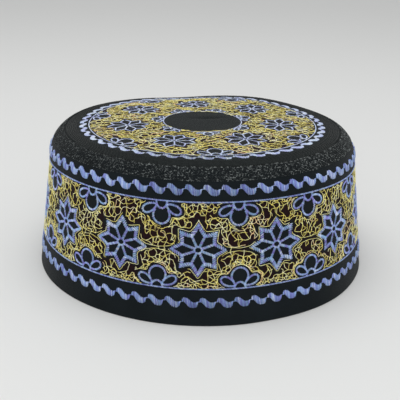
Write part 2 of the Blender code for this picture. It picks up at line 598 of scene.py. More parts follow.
# lengths, girths and outward bows of the points that stand upright, aslant, across and aslant again,
# half the width and height of the ring of notches between them, and the ring at the middle
wallStar = {"tips": (13.1, 12.7, 13.7, 12.7), "girths": (1.2, 1.15, 1.05, 1.15),
            "bows": (-0.3, -0.5, -0.05, -0.5), "notch": (8.6, 7.5), "ring": 1.95}
hangingFlower = {"eyeWide": 2.75, "eyeDeep": 3.5, "petal": 4.15, "petalAt": 6.85}
standingFlower = {"eyeWide": 2.9, "eyeDeep": 3.25, "petal": 4.25, "petalAt": 6.3}
flowerRows = {
    "hanging": {"form": hangingFlower, "line": wallField["highLine"], "drop": 0.35, "flip": -1},
    "standing": {"form": standingFlower, "line": wallField["lowLine"], "drop": 0.0, "flip": 1},
}

repeatStep = 360 / wallField["repeats"]
wallRepeats = range(-wallField["repeats"] // 2, wallField["repeats"] // 2)


def wallAzimuth(degrees):
    # where the even repeat really lies round the cap, in radians
    return np.radians(wallField["offset"] + degrees - wallField["drawnIn"] * np.sin(np.radians(degrees)))


def wallFlat(line, centre, level, flip=1):
    # a motif's line as degrees round the repeat and height in millimetres
    across, up, wide = denser(line).T
    heights = level + flip * up
    return np.stack([centre + np.degrees(across * mm / bandRadius(heights * mm)), heights, wide], 1)


def nudge(kind, repeat):
    nudges = wallField[kind + "Nudges"]
    place = repeat - wallField["firstNudge"]
    return nudges[place] if 0 <= place < len(nudges) else 0.0


def starPlace(repeat):
    centre = repeat * repeatStep + wallField["starShift"] + nudge("star", repeat)
    return centre, wallField["starHeight"] + wallField["starRises"].get(repeat, 0.0)


def flowerCentre(kind, repeat):
    return (repeat + 0.5) * repeatStep + nudge(kind, repeat)


def wallMotifs():
    # every line on the wall: the embroidered ones, and the hearts that only keep gold out
    found = {"stars": [], "rays": [], "flowers": [], "starHearts": [], "flowerHearts": []}

    def add(motifs, *place):
        for kind, lines in motifs.items():
            found[kind] += [wallFlat(line, *place) for line in lines]

    for repeat in wallRepeats:
        add({"stars": starSides(wallStar), "rays": starRays(wallStar), "starHearts": starHeart()},
            *starPlace(repeat))
        for kind, row in flowerRows.items():
            add({"flowers": halfFlower(**row["form"]), "flowerHearts": flowerHeart()},
                flowerCentre(kind, repeat), row["line"] - row["drop"], row["flip"])
    return found


def sagAt(azimuths, heights):
    def grown(turn, begin, over):
        return np.clip((turn - begin) / over, 0, 1) ** 2

    def faded(turn, end, over):
        return np.clip((end - turn) / over, 0, 1)

    turn = np.degrees(azimuths)
    right = grown(turn, *sideSag["right"]) * faded(turn, *sideSag["end"])
    left = grown(-turn, *sideSag["left"]) * faded(-turn, *sideSag["end"])
    share = sideSag["lowShare"] + (1 - sideSag["lowShare"]) * heights / wallField["highLine"]
    return sideSag["depth"] * (right * share + sideSag["leftShare"] * left * share ** 3)


def halfTurned(azimuths):
    # the same azimuths from -pi to pi
    return (azimuths + math.pi) % math.tau - math.pi


def onWall(degrees, heights):
    azimuths = halfTurned(wallAzimuth(degrees))
    return onBand(azimuths, (heights - sagAt(azimuths, heights)) * mm)


def wallRun(flat, reach):
    degrees, heights, wide = flat.T
    return outlineRun(onWall(degrees, heights), wide, reach)


def wallCircle(height):
    degrees = np.linspace(0, 360, 721)
    return np.stack([degrees, height + 0 * degrees, np.ones(len(degrees))], 1)


# one wave of the border: share of the way along its repeat, and its two edges in millimetres
waveChart = {
    "share": (0.000, 0.060, 0.064, 0.090, 0.150, 0.200, 0.250, 0.320, 0.390, 0.460,
              0.530, 0.600, 0.680, 0.760, 0.840, 0.890, 0.922, 0.935, 0.940, 0.985),
    "low": (0.00, 0.00, -0.10, -0.12, -0.25, -0.50, -0.95, -1.75, -2.45, -2.90,
            -3.12, -3.22, -3.22, -3.17, -2.90, -2.40, -1.65, -0.80, 0.00, 0.00),
    "high": (0.30, 0.32, 1.85, 2.15, 2.35, 2.42, 2.42, 2.35, 2.10, 1.60,
             1.00, 0.52, 0.20, 0.08, 0.12, 0.22, 0.28, 0.30, 0.30, 0.30),
}


def waveLines(repeats, first):
    # degrees, middle and length of the stitches of one wave after another round the border
    share = np.linspace(0, waveChart["share"][-1], 40)
    low, high = (np.interp(share, waveChart["share"], waveChart[edge]) for edge in ("low", "high"))
    for repeat in range(repeats):
        yield first + (repeat + share) * 360 / repeats, (low + high) / 2, high - low


def wallWaveRuns(height, repeats, first):
    runs = []
    for degrees, middle, reach in waveLines(repeats, first):
        points, normals = onWall(degrees, height + middle)
        above, _ = onWall(degrees, height + middle + 0.5)
        runs.append((points, normals, unit(above - points), reach * mm))
    return runs


# The crown's ornament

crownField = {
    "shiftX": -0.3,
    "shiftY": -0.5,
    "stretch": 0.08,       # share by which the ornament is drawn out from front to back
    "stretchFrom": 44,     # radius within which it grows, over this many millimetres
    "stretchOver": 22,
    "innerLine": 22.3,
    "outerLine": 64.4,
    "starWide": 0.95,
    "flowerWide": 0.9,
    "lineWide": 0.75,
    "waveRadius": 67.4,
    "waveSize": 0.78,
    "waves": 48,
    "waveStart": -2.0,     # degrees
    # azimuth in degrees, distance out, and how far each star is drawn out across and from front to back
    "stars": [(33.0, 42.4, 0.93, 1.06), (83.5, 43.8, 0.9, 1.12), (136.5, 43.6, 0.88, 0.92),
              (187.4, 44.0, 0.86, 0.92), (236.5, 44.6, 0.92, 0.94), (286.6, 43.2, 0.98, 1.04),
              (340.8, 43.9, 0.98, 0.92)],
    "outerFlowers": [6.5, 58.2, 112, 161.6, 213, 261.5, 317.3],
    "innerFlowers": [7.3, 60, 110.2, 161.6, 213, 264.4, 315.9],
    "outerSize": (0.93, 0.9),
    "innerSize": (0.64, 0.62),
    "heartSize": (0.9, 0.9, 1),
}

crownStar = {"tips": (12.0, 12.0, 12.0, 12.0), "girths": (1.0, 1.0, 1.0, 1.0),
             "bows": (0.25, 0.25, 0.25, 0.25), "notch": (8.0, 8.0), "ring": 1.4}


def crownSpot(azimuth, radius):
    drawn = np.clip((crownField["stretchFrom"] - radius) / crownField["stretchOver"], 0, 1)
    deep = radius * (1 + crownField["stretch"] * drawn)
    return crownField["shiftX"] + radius * np.sin(azimuth), crownField["shiftY"] - deep * np.cos(azimuth)


def crownStarLine(line, azimuth, out, across, deep):
    # a star stands square to the ray that it lies on
    x, y, wide = denser(line).T
    azimuth = math.radians(azimuth)
    middle = crownSpot(azimuth, out)
    return np.stack([middle[0] + across * (x * math.cos(azimuth) - y * math.sin(azimuth)),
                     middle[1] + deep * (x * math.sin(azimuth) + y * math.cos(azimuth)), wide], 1)


def crownFlowerLine(line, azimuth, ring, inward, size):
    # a half flower is bent to the ring that it grows from
    x, y, wide = denser(line).T
    radius = ring - inward * y * size[1]
    return np.stack([*crownSpot(math.radians(azimuth) + x * size[0] / radius, radius), wide], 1)


def crownMotifs():
    found = {"stars": [], "flowers": [], "hearts": []}
    for star in crownField["stars"]:
        lines = starSides(crownStar) + starRays(crownStar)
        found["stars"] += [crownStarLine(line, *star) for line in lines]
        found["hearts"] += [crownStarLine(line * crownField["heartSize"], *star) for line in starHeart()]
    for kind, lines in (("flowers", halfFlower(**hangingFlower)), ("hearts", flowerHeart())):
        for line in lines:
            for ring, inward in (("outer", 1), ("inner", -1)):
                place = (crownField[ring + "Line"], inward, crownField[ring + "Size"])
                for azimuth in crownField[ring + "Flowers"]:
                    found[kind].append(crownFlowerLine(line, azimuth, *place))
    return found


def crownRun(flat, reach):
    xs, ys, wide = flat.T
    return outlineRun(onCrown(xs * mm, ys * mm), wide, reach)


def crownCircle(radius):
    turns = np.linspace(0, math.tau, 361)
    return np.stack([*crownSpot(turns, radius), np.ones(len(turns))], 1)


def crownWaveRuns():
    runs = []
    size = crownField["waveSize"]
    for degrees, middle, reach in waveLines(crownField["waves"], crownField["waveStart"]):
        azimuths = np.radians(degrees)
        xs, ys = crownSpot(azimuths, crownField["waveRadius"] - middle * size)
        points, normals = onCrown(xs * mm, ys * mm)
        runs.append((points, normals, -polar(azimuths, 1, 0), reach * size * mm))
    return runs


# Gold filling: a thread that loops its way over all that the motifs leave open

goldFill = {
    "seed": 5,
    "crownSeed": 12,
    "threadRadius": 0.142,
    "crownRadius": 0.175,
    "step": 0.6,
    "starBare": 1.25,      # cloth left bare round each motif
    "flowerBare": 0.9,
    "crownBare": 0.45,
    "lineBare": 0.4,
    "sparse": 2.3,         # from knot to knot beside the stars
    "dense": 1.2,          # the same beside the half flowers and along the lines
    "crownSpacing": 2.2,
    "lineShare": 0.6,      # a line crowds the net as a flower at this share of its distance does
    "highEase": 0.8,       # and the high line as one so many millimetres further off
    "openFrom": 1.6,       # millimetres from the flowers where the net opens, and over how many
    "openOver": 2.2,
    "kept": 0.72,          # share of the ties between neighbouring knots that a thread follows
    "inset": 0.15,         # how far a tie may run over bare cloth
    "sway": 0.11,          # how far a thread misses the knots, as a share of the spacing
    "bow": 0.3,
    "stray": 0.8,          # radians by which a thread's choice of the straightest way strays
    "longest": 2.2,        # length of a tie, in spacings
    "strand": 30,          # ties before the thread's colour changes
    "slit": 0.35,          # bare cloth between the tips of neighbouring stars
    "slitReach": 6.5,
    # slow waves in the net's spacing: their depth, then their rate and start across and up
    "patch": (0.25, 0.23, 0.8, 0.19, 2.0),
    "crownPatch": (0.1, 0.31, 1.7, 0.27, 0.4),
    "tries": 110000,
    "lifts": (0.1, 1.5),   # how high threads lie, in their radii
    "crownLifts": (0.1, 0.8),
    # share of the threads in an odd tone, that tone, and the range of the rest
    "tones": (0.07, 0.85, 0.3, 0.6),
    "crownTones": (0.12, 0.9, 0.2, 0.6),
    "overlap": 25,         # millimetres of the flat map repeated past its two ends
}

# the threads laid round the motifs: how far off, how unsteadily, and the share that is sewn
goldRims = {
    "tone": 0.5,
    "flowerTones": (0.45, 0.9),
    "tipGap": 1.4,
    "notchGap": 2.6,
    "starShake": 0.35,
    "starKept": 0.8,
    "slitLine": [(-8.3, 3.0), (-6, 1.5), (-3, 0.9), (0, 0.6), (3, 0.9), (6, 1.5), (8.3, 3.0)],
    "slitShake": 0.25,
    "slitKept": 0.92,
    "starPitch": 0.9,      # from point to point along the thread
    "slitPitch": 1.0,
    "flowerMiddle": 4,     # where the rays that find a flower's outline start
    "flowerSearch": (1.0, 22.0),
    "halvings": 14,
    "flowerStep": 5,       # degrees
    "sampling": 0.25,
    "flowerArc": (-25, 205),
    "flowerGap": 1.6,
    "flowerFoot": 1,       # the thread stops this far above the line that the flower stands on
    "flowerShake": 0.4,
    "flowerKept": ((1, 0.75), (1.07, 0.35)),    # size and share of the first and second round
    "partSteps": (3, 8),
}


class Room:
    # how far a flat point lies outside some motif lines and the bare cloth round them
    def __init__(self, lines, margin):
        samples = np.concatenate(lines)
        self.tree = KDTree(len(samples))
        self.margin = margin
        for index, sample in enumerate(samples):
            self.tree.insert((sample[0], sample[1], 0), index)
        self.tree.balance()

    def at(self, x, y):
        return self.tree.find((x, y, 0))[2] - self.margin


def patchAt(x, y, depth, acrossRate, acrossStart, upRate, upStart):
    return depth * math.sin(x * acrossRate + acrossStart) * math.sin(y * upRate + upStart)


def scatterKnots(dice, across, up, roomAt, spacingAt):
    # where threads cross: the knots keep their distance from each other and from the motifs
    square = goldFill["sparse"]
    taken = {}
    kept = []
    for _ in range(goldFill["tries"]):
        x, y = dice.uniform(*across), dice.uniform(*up)
        if roomAt(x, y) < 0:
            continue
        spacing = spacingAt(x, y)
        column, row = math.floor(x / square), math.floor(y / square)
        near = [taken.get((column + i, row + j), []) for i in (-1, 0, 1) for j in (-1, 0, 1)]
        if any((x - a) ** 2 + (y - b) ** 2 < spacing * spacing for group in near for a, b in group):
            continue
        taken.setdefault((column, row), []).append((x, y))
        kept.append((x, y, spacing))
    print("gold net:", len(kept), "knots")
    return kept


def tiesOf(knots, roomAt, dice):
    # for each knot, the neighbours that a thread runs to over cloth that takes gold
    spots = [Vector(knot[:2]) for knot in knots]
    _, _, triangles, origins, _, _ = delaunay_2d_cdt(spots, [], [], 0, 0.0001)
    pairs = set()
    for corners in triangles:
        a, b, c = sorted(origins[corner][0] for corner in corners)
        pairs |= {(a, b), (b, c), (a, c)}
    ties = [[] for _ in knots]
    for a, b in sorted(pairs):
        way = spots[b] - spots[a]
        clear = all(roomAt(*(spots[a] + way * share)) > -goldFill["inset"] for share in (0.25, 0.5, 0.75))
        if clear and way.length < goldFill["longest"] * knots[a][2] and dice.random() < goldFill["kept"]:
            ties[a].append(b)
            ties[b].append(a)
    return ties


def strandsOf(knots, ties, dice):
    # threads that follow every tie once and cross each other at the knots, going on almost straight
    def turnTo(strand, ahead):
        if len(strand) < 2:
            return dice.random()
        (x0, y0, _), (x1, y1, _), (x2, y2, _) = knots[strand[-2]], knots[strand[-1]], knots[ahead]
        turn = math.atan2(y2 - y1, x2 - x1) - math.atan2(y1 - y0, x1 - x0)
        return abs(halfTurned(turn)) + dice.uniform(0, goldFill["stray"])

    strands = []
    for first in range(len(knots)):
        while ties[first]:
            strand = [first]
            while ties[strand[-1]] and len(strand) < goldFill["strand"]:
                here = strand[-1]
                ahead = min(ties[here], key=lambda other: turnTo(strand, other))
                ties[here].remove(ahead)
                ties[ahead].remove(here)
                strand.append(ahead)
            strands.append([knots[index] for index in strand])
    return strands


def slackLine(strand, dice):
    # the thread of one strand: it misses the knots a little and bows between them
    def missed(value, spacing):
        return value + dice.gauss(0, goldFill["sway"]) * spacing

    stops = [(missed(x, spacing), missed(y, spacing)) for x, y, spacing in strand]
    line = [stops[0]]
    for (x, y), (nextX, nextY) in zip(stops, stops[1:]):
        bow = dice.uniform(-1, 1) * goldFill["bow"]
        line.append(((x + nextX) / 2 - (nextY - y) * bow, (y + nextY) / 2 + (nextX - x) * bow))
        line.append((nextX, nextY))
    return np.array(line)


def goldLines(dice, across, up, roomAt, spacingAt):
    knots = scatterKnots(dice, across, up, roomAt, spacingAt)
    ties = tiesOf(knots, roomAt, dice)
    return [slackLine(strand, dice) for strand in strandsOf(knots, ties, dice)]


def toneOf(dice, share, odd, low, high):
    return odd if dice.random() < share else dice.uniform(low, high)


def partsOf(line, dice, kept):
    # the parts of an outline that are left when some of it is skipped
    start = 0
    while start < len(line) - 1:
        end = start + dice.randint(*goldRims["partSteps"])
        if dice.random() < kept:
            yield line[start:end + 1]
        start = end


def smoothed(values, reach):
    # each value's mean with its neighbours on both sides
    count = 2 * reach + 1
    return np.convolve(np.pad(values, reach, mode="edge"), np.ones(count) / count, mode="valid")


def threadRun(surface, dice, tone, lifts):
    # lays a thread on the cloth, rising and dipping a little where it crosses itself
    points, normals = surface
    high = smoothed(np.array([dice.uniform(*lifts) for _ in points]), 1)
    laid = points + normals * high[:, None] * goldFill["threadRadius"] * mm
    return laid, normals, normals, np.full(len(points), tone)


def shaken(line, dice, amount):
    # the same outline as a hand or a worn machine lays it
    sway = np.array([dice.gauss(0, amount) for _ in range(2 * len(line))]).reshape(-1, 2)
    sway = np.stack([smoothed(part, 2) for part in sway.T], 1)
    return np.concatenate([line[:, :2] + sway, line[:, 2:]], 1)


def starRim():
    corners = []
    for corner in range(2 * starPoints + 1):
        angle = math.radians(90 + corner * 180 / starPoints)
        reach = wallStar["tips"][corner // 2 % 4] + goldRims["tipGap"]
        if corner % 2:
            reach = wallStar["notch"][1] + goldRims["notchGap"]
        corners.append((reach * math.cos(angle), reach * math.sin(angle), 1.0))
    return denser(np.array(corners), goldRims["starPitch"])


def flowerRim(form):
    # the thread laid round a half flower, found by halving along rays from its middle
    lines = [denser(line, goldRims["sampling"]) for line in halfFlower(**form) + flowerHeart()]
    room = Room(lines, goldRims["flowerGap"])
    middle = goldRims["flowerMiddle"]
    first, last = goldRims["flowerArc"]
    outline = []
    for angle in np.radians(np.linspace(first, last, round((last - first) / goldRims["flowerStep"]) + 1)):
        near, far = goldRims["flowerSearch"]
        for _ in range(goldRims["halvings"]):
            reach = (near + far) / 2
            inside = room.at(reach * math.cos(angle), middle + reach * math.sin(angle)) < 0
            near, far = (reach, far) if inside else (near, reach)
        if middle + far * math.sin(angle) > goldRims["flowerFoot"]:
            outline.append((far * math.cos(angle), middle + far * math.sin(angle), 1.0))
    return np.array(outline)


def rimLines(dice):
    # the threads laid round each star, half flower and slit, with their tones
    star = starRim()
    slit = denser(np.array([(*spot, 1) for spot in goldRims["slitLine"]]), goldRims["slitPitch"])
    flowers = {kind: flowerRim(row["form"]) for kind, row in flowerRows.items()}
    for repeat in wallRepeats:
        for part in partsOf(shaken(star, dice, goldRims["starShake"]), dice, goldRims["starKept"]):
            yield wallFlat(part, *starPlace(repeat)), goldRims["tone"]
        for flip in (1, -1):
            centre = (repeat + 0.5) * repeatStep + wallField["starShift"]
            for part in partsOf(shaken(slit, dice, goldRims["slitShake"]), dice, goldRims["slitKept"]):
                yield wallFlat(part, centre, wallField["starHeight"], flip), goldRims["tone"]
        for kind, row in flowerRows.items():
            centre = flowerCentre(kind, repeat)
            for size, kept in goldRims["flowerKept"]:
                outline = flowers[kind] * (size, size, 1)
                for part in partsOf(shaken(outline, dice, goldRims["flowerShake"]), dice, kept):
                    tone = dice.choice(goldRims["flowerTones"]) if kind == "standing" else goldRims["tone"]
                    yield wallFlat(part, centre, row["line"], row["flip"]), tone


def wallRooms(motifs):
    # the room outside the stars and outside the half flowers, on the flat map of the wall
    around = math.tau * flatRadius
    lap = around / 2 - goldFill["overlap"]
    rooms = {}
    for name in ("star", "flower"):
        flats = motifs[name + "s"] + motifs[name + "Hearts"]
        lines = [np.stack([np.radians(flat[:, 0]) * flatRadius, flat[:, 1]], 1) for flat in flats]
        before = [line - (around, 0) for line in lines if line[:, 0].max() > lap]
        after = [line + (around, 0) for line in lines if line[:, 0].min() < -lap]
        rooms[name] = Room(lines + before + after, wallField[name + "Wide"] / 2 + goldFill[name + "Bare"])
    return rooms


def wallGold(motifs):
    # the gold of the wall, and the room function that also shades the ground
    dice = random.Random(goldFill["seed"])
    rooms = wallRooms(motifs)
    half = math.pi * flatRadius
    low, high = wallField["lowLine"], wallField["highLine"]
    stride = math.radians(repeatStep) * flatRadius
    bare = goldFill["lineBare"]

    def roomAt(x, y):
        aside = abs(x / stride % 1 - 0.5) * stride
        slit = math.inf
        if aside < goldFill["slitReach"]:
            slit = abs(y - wallField["starHeight"]) - goldFill["slit"]
        return min(rooms["star"].at(x, y), rooms["flower"].at(x, y), y - low - bare, high - bare - y, slit)

    def spacingAt(x, y):
        # close beside the half flowers and along both lines, open elsewhere
        share = goldFill["lineShare"]
        away = min(max(0.0, rooms["flower"].at(x, y)), share * (y - low),
                   share * (high - y) + goldFill["highEase"])
        looseness = (away - goldFill["openFrom"]) / goldFill["openOver"] + patchAt(x, y, *goldFill["patch"])
        looseness = min(1.0, max(0.0, looseness))
        return goldFill["dense"] + (goldFill["sparse"] - goldFill["dense"]) * looseness

    lines = []
    for spots in goldLines(dice, (-half, half), (low, high), roomAt, spacingAt):
        flat = np.stack([np.degrees(spots[:, 0] / flatRadius), spots[:, 1]], 1)
        lines.append((flat, toneOf(dice, *goldFill["tones"])))
    lines += rimLines(dice)
    runs = [threadRun(onWall(line[:, 0], line[:, 1]), dice, tone, goldFill["lifts"]) for line, tone in lines]
    return runs, roomAt


def crownGold(motifs):
    dice = random.Random(goldFill["crownSeed"])
    lines = motifs["stars"] + motifs["flowers"] + motifs["hearts"]
    room = Room(lines, crownField["starWide"] / 2 + goldFill["crownBare"])
    inner = crownField["innerLine"] + goldFill["lineBare"]
    outer = crownField["outerLine"] - goldFill["lineBare"]

    def roomAt(x, y):
        radius = math.hypot(x - crownField["shiftX"], y - crownField["shiftY"])
        return min(room.at(x, y), radius - inner, outer - radius)

    def spacingAt(x, y):
        return goldFill["crownSpacing"] * (1 + patchAt(x, y, *goldFill["crownPatch"]))

    half = crownField["outerLine"] + 3
    runs = []
    for spots in goldLines(dice, (-half, half), (-half, half), roomAt, spacingAt):
        tone = toneOf(dice, *goldFill["crownTones"])
        runs.append(threadRun(onCrown(*(spots.T * mm)), dice, tone, goldFill["crownLifts"]))
    return runs, roomAt


# Black stitching on the shoulder and round the crown's rim

blackRows = {
    "shoulderRadii": [78.8, 79.4, 80.0, 80.6, 81.2, 81.8, 82.4, 82.95, 83.45, 83.9, 84.3],
    "shoulderReach": 0.66,
    "rimRadii": [71.9, 72.9, 73.9, 74.9, 75.9, 76.9],
    "seamRadius": 77.95,
    "seamArcs": [(-58, 62), (128, 232)],    # degrees between which stitches hide the seam
    "rimReach": 2.3,
}


def ringRun(radius, onSurface, reach, arc=None):
    # whole rings start at odd places, so that their ends don't line up
    first, last = arc or (0, 360)
    count = 2 * (last - first) + 1
    azimuths = np.radians(np.linspace(first, last, count)) + (0 if arc else radius)
    points, normals = onSurface(azimuths, np.full(count, radius * mm))
    return points, normals, unit(np.gradient(points, axis=0)), np.full(count, blackRows[reach] * mm)


# Cloth

clothMesh = {
    "bandColumns": 300,
    "crownColumns": 240,
    "rollSteps": 7,
    "shoulderSteps": 22,
    "wallSteps": 60,
    "hemSteps": 6,
    "liningSteps": 14,
    "innerShoulderSteps": 10,
    "crownSteps": 70,
    "underSteps": 14,
    # how the hem's fold is rounded outside and inside: in from the side and up, in hemRounds
    "outerFold": ((0.1, 1.0), (0.35, 0.3), (1.0, 0.0)),
    "innerFold": ((1.0, 0.0), (0.3, 0.3), (0.0, 1.0)),
    "hemStep": 0.4 * mm,     # height over which the turned-in hem ends inside
    "innerFrom": 0.1 * mm,   # the inner shoulder runs from so far inside the top of the wall
    "innerTo": 1.2 * mm,     # to so far outside the seam allowance
    "innerClear": 0.3 * mm,
    "allowanceTop": 1.2,     # in cloths below the outer surface
    "slopeStep": 0.05 * mm,
    "middle": 0.5 * mm,      # radius of the flat face that closes the crown at its centre
    "sharpest": 50,          # degrees between faces that still look smooth
    "skin": 0.3 * mm,        # a point this near to the outer surface lies on it
    "groundStart": 0.35,     # where the maroon ground starts to show, in millimetres of room
    "groundOver": 0.9,
    "crownGroundEnd": 70 * mm,
}


def rolledEdge(height, face, side):
    # the arc by which a surface turns down to the seam's face, listed from the surface
    roll = capForm["seamRoll"]
    centre = face + side * roll
    slope = (height(centre + roll / 2) - height(centre)) / (roll / 2)
    first = math.pi / 2 + math.atan(slope)
    last = math.pi if side > 0 else 0.0
    meet = centre + roll * math.cos(first)
    middle = height(meet) - roll * math.sin(first)
    turns = np.linspace(first, last, clothMesh["rollSteps"])
    return [(centre + roll * math.cos(turn), middle + roll * math.sin(turn)) for turn in turns]


def bandSection():
    # down the outer side from the seam allowance, round the hem and up the inner side
    cloth, hemCloth, depth = capForm["cloth"], capForm["hemCloth"], capForm["hemDepth"]
    face = capForm["seamRadius"] + capForm["seamGap"] / 2
    foot = capForm["seamHeight"] - capForm["seamAllowance"]
    roll = rolledEdge(shoulderHeight, face, 1)
    section = [(face, foot), (face, foot + 2 * mm)] + roll[::-1]
    for radius in np.linspace(roll[0][0], wallTopRadius, clothMesh["shoulderSteps"])[1:-5]:
        section.append((radius, shoulderHeight(radius)))
    edge = capForm["hemRound"]
    for height in np.linspace(section[-1][1], 2 * edge, clothMesh["wallSteps"])[1:]:
        section.append((bandRadius(height), height))

    outside = capForm["hemRadius"]
    section += [(outside - across * edge, up * edge) for across, up in clothMesh["outerFold"]]
    section += [(outside - hemCloth + across * edge, up * edge) for across, up in clothMesh["innerFold"]]
    for height in np.linspace(edge, depth, clothMesh["hemSteps"])[1:]:
        section.append((wallRadius(height) - hemCloth, height))
    liningFoot = depth + clothMesh["hemStep"]
    for height in np.linspace(liningFoot, capForm["wallTop"] - cloth, clothMesh["liningSteps"]):
        section.append((wallRadius(height) - cloth, height))

    wrong = face + cloth
    step = clothMesh["slopeStep"]
    first, last = wallTopRadius - clothMesh["innerFrom"], wrong + clothMesh["innerTo"]
    for radius in np.linspace(first, last, clothMesh["innerShoulderSteps"]):
        slope = (shoulderHeight(radius) - shoulderHeight(radius - step)) / step
        length = math.hypot(1, slope)
        inner = radius + slope / length * cloth
        if inner > wrong + clothMesh["innerClear"]:
            section.append((inner, shoulderHeight(radius) - cloth / length))
    return section + [(wrong, shoulderHeight(wrong) - clothMesh["allowanceTop"] * cloth), (wrong, foot)]


def crownSection():
    # from the top's middle out, down the allowance and back underneath
    cloth = capForm["cloth"]
    face = capForm["seamRadius"] - capForm["seamGap"] / 2
    foot = capForm["seamHeight"] - capForm["seamAllowance"]
    roll = rolledEdge(crownHeight, face, -1)
    over = np.linspace(clothMesh["middle"], roll[0][0], clothMesh["crownSteps"])[:-1]
    under = np.linspace(face - cloth, clothMesh["middle"], clothMesh["underSteps"])
    section = [(radius, crownHeight(radius)) for radius in over] + roll
    section += [(face, foot), (face - cloth, foot)]
    return section + [(radius, crownHeight(radius) - cloth) for radius in under]


def turned(name, section, columns, ring, paint, ground):
    # a shell of revolution from its section, with a weave map in metres and the shade of its ground
    section = np.array(section, float)
    rows = len(section)
    azimuths = np.tile(np.arange(columns) * math.tau / columns, rows)
    radii, heights = np.repeat(section, columns, axis=0).T
    points = polar(azimuths, radii, heights)
    if ring:
        travel = np.concatenate([[0], np.cumsum(np.hypot(*np.diff(section, axis=0).T))])
        flat = np.stack([azimuths * flatRadius * mm, np.repeat(travel, columns)], 1)
    else:
        points[:, 2] += crownSurface(points[:, 0], points[:, 1]) - crownHeight(radii)
        flat = points[:, :2]
    faces = []
    for row in range(rows if ring else rows - 1):
        here, below = row * columns, (row + 1) % rows * columns
        for column in range(columns):
            beside = (column + 1) % columns
            faces.append((here + column, below + column, below + beside, here + beside))
    if not ring:
        faces.append(tuple(range(columns)))
        faces.append(tuple(range(rows * columns - 1, (rows - 1) * columns - 1, -1)))
    mesh = bpy.data.meshes.new(name)
    mesh.from_pydata(settled(points).tolist(), [], faces)
    mesh.update()

    corners = np.empty(len(mesh.loops), np.int32)
    mesh.loops.foreach_get("vertex_index", corners)
    places = flat[corners]
    if ring:
        around = math.tau * flatRadius * mm
        across = places.reshape(-1, 4, 2)[:, :, 0]
        wraps = np.ptp(across, axis=1) > around / 2
        across += (wraps[:, None] & (across < around / 2)) * around
    mesh.uv_layers.new(name="weave").data.foreach_set("uv", places.astype(np.float32).ravel())
    shade = ground(azimuths, radii, heights).astype(np.float32)
    mesh.attributes.new("ground", "FLOAT", "POINT").data.foreach_set("value", shade)
    mesh.shade_smooth()
    mesh.set_sharp_from_angle(angle=math.radians(clothMesh["sharpest"]))
    mesh.materials.append(paint.material)
    return addPiece(name, mesh)


def groundShade(outside, roomAt, xs, ys):
    # how far the cloth shows the maroon ground that lies under the gold
    shade = np.zeros(len(outside))
    rooms = np.array([roomAt(x, y) for x, y in zip(xs[outside], ys[outside])])
    shade[outside] = np.clip(clothMesh["groundStart"] + rooms / clothMesh["groundOver"], 0, 1)
    return shade


def bandGround(azimuths, radii, heights):
    levels = heights / mm
    outside = radii > bandRadius(heights) - clothMesh["skin"]
    outside &= (levels > wallField["lowLine"]) & (levels < wallField["highLine"])
    real = np.degrees(azimuths) - wallField["offset"]
    nominal = (real + wallField["drawnIn"] * np.sin(np.radians(real)) + 180) % 360 - 180
    levels += sagAt(halfTurned(azimuths), levels)
    return groundShade(outside, wallRoom, np.radians(nominal) * flatRadius, levels)


def crownGround(azimuths, radii, heights):
    outside = (heights > crownHeight(radii) - clothMesh["skin"]) & (radii < clothMesh["crownGroundEnd"])
    xs, ys = radii * np.sin(azimuths) / mm, -radii * np.cos(azimuths) / mm
    return groundShade(outside, crownRoom, xs, ys)


# Finishes

clothFinish = {
    "shine": {"Roughness": 0.72, "Sheen_Weight": 0.05, "Sheen_Roughness": 0.4},
    "weavePitch": 0.5 * mm,
    "fuzz": (2500.0, 2.0),          # scale and detail
    "fading": (60.0, 3.0),
    "fadingShare": 0.6,             # shares of what makes the cloth lighter or darker
    "fuzzShare": 0.25,
    "weaveShare": 0.12,
    "darkest": 0.2,
    "lightest": 0.75,
    "weaveRelief": 0.5,
    "relief": (0.12 * mm, 0.6),     # depth and strength
}
threadFinish = {"sheen": 0.05, "driftDetail": 1.5, "fuzz": (4000.0, 1.0), "relief": (0.05 * mm, 0.4)}


def clothPaint(name, dark, light, ground, gloss):
    paint = Paint(name, **clothFinish["shine"], Specular_IOR_Level=gloss)
    weave = paint.make("ShaderNodeUVMap", {"uv_map": "weave"})
    turns = math.tau / clothFinish["weavePitch"]
    threads = (paint.part(weave, "X") * turns).sine() * (paint.part(weave, "Y") * turns).sine()
    fading = paint.noise(*clothFinish["fading"]) * clothFinish["fadingShare"]
    fuzz = paint.noise(*clothFinish["fuzz"])
    shade = fading + fuzz * clothFinish["fuzzShare"] + threads * clothFinish["weaveShare"]
    stops = [(clothFinish["darkest"], srgb(*dark)), (clothFinish["lightest"], srgb(*light))]
    paint.give("Base Color", paint.blend(paint.stored("ground"), paint.ramp(shade, stops), srgb(*ground)))
    relief = threads * clothFinish["weaveRelief"] + fuzz
    paint.give("Normal", paint.bump(relief, *clothFinish["relief"]))
    return paint


def threadPaint(name, stops, drifts, rough=0.45, toneShare=1.0, gloss=0.5, paintedSheenFade=None):
    # stops are the places and colours that the variegated thread runs through, drifts the scales
    # and shares of its changes, and the last setting paints sheen and shade: where along X the thread
    # is painted palest, and how fast it is painted darker away from there
    paint = Paint(name, Roughness=rough, Specular_IOR_Level=gloss, Sheen_Weight=threadFinish["sheen"])
    factor = (paint.stored("tone") - 0.5) * toneShare + 0.5
    # painted sheen and shade: the colour is palest at one place along X and darker on both sides of it
    if paintedSheenFade:
        palest, rate = paintedSheenFade
        away = paint.part(paint.place(), "X") - palest
        factor = factor - away * away * rate
    for scale, share in drifts:
        factor = factor + (paint.noise(scale, threadFinish["driftDetail"]) - 0.5) * share
    paint.give("Base Color", paint.ramp(factor, [(place, srgb(*colour)) for place, colour in stops]))
    paint.give("Normal", paint.bump(paint.noise(*threadFinish["fuzz"]), *threadFinish["relief"]))
    return paint


